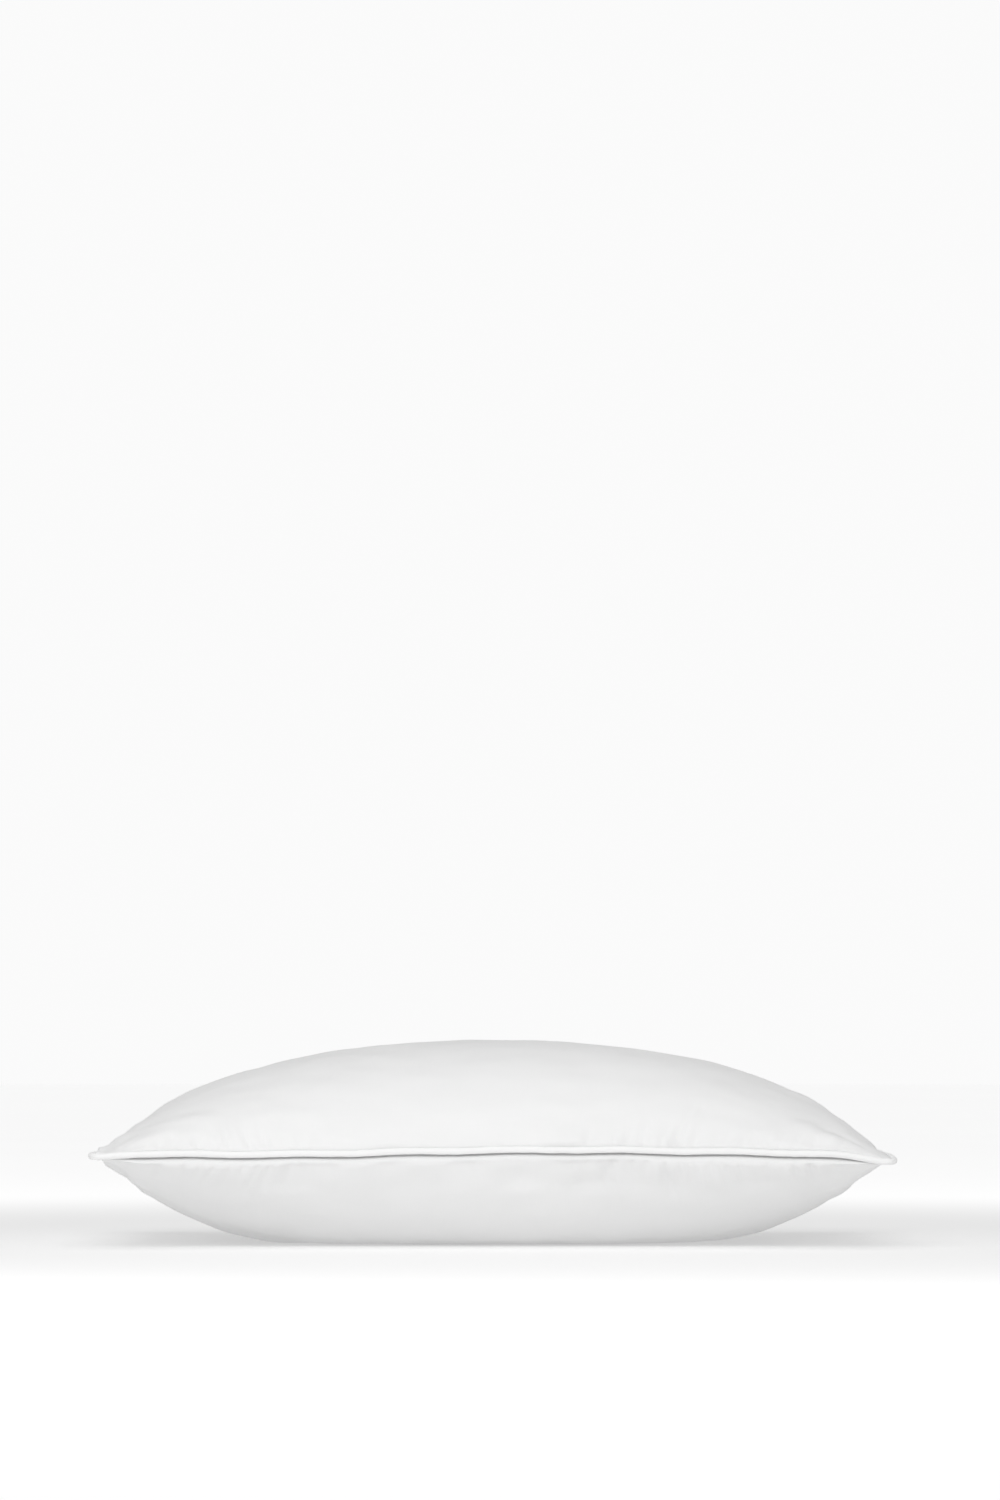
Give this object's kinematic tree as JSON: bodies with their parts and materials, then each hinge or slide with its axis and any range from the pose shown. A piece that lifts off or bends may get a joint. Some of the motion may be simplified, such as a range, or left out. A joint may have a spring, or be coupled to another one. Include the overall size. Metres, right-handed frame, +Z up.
{
  "type": "bed pillow",
  "caption": "Plump rectangular bed pillow with a piped edge and a soft fill, resting flat on its lower side.",
  "frame": {"origin": "middle of the flat patch that the pillow rests on", "axes": "+X along the long sides, +Y from the front long side to the rear one, +Z up"},
  "size_m": [0.7238, 0.4798, 0.187],
  "materials": {
    "casing": "tightly woven white cotton cambric, matt with a faint calendered sheen",
    "piping": "white cotton bias strip, its weave at 45 degrees to the edge",
    "filler_cord": "soft unbleached twisted cotton cord",
    "filling": "loose white down and small feather",
    "thread": "white core-spun sewing thread",
    "label_tape": "blank white satin tape"
  },
  "bodies": {
    "root": {"top_panel": "casing", "bottom_panel": "casing", "piping_cover": "piping", "piping_cord": "filler_cord", "down_filling": "filling", "piping_seam_needle_thread": "thread", "piping_seam_bobbin_thread": "thread", "assembly_seam_needle_thread": "thread", "assembly_seam_bobbin_thread": "thread", "closing_seam_needle_thread": "thread", "closing_seam_bobbin_thread": "thread", "overlock_thread": "thread", "care_label": "label_tape"}
  },
  "joints": []
}
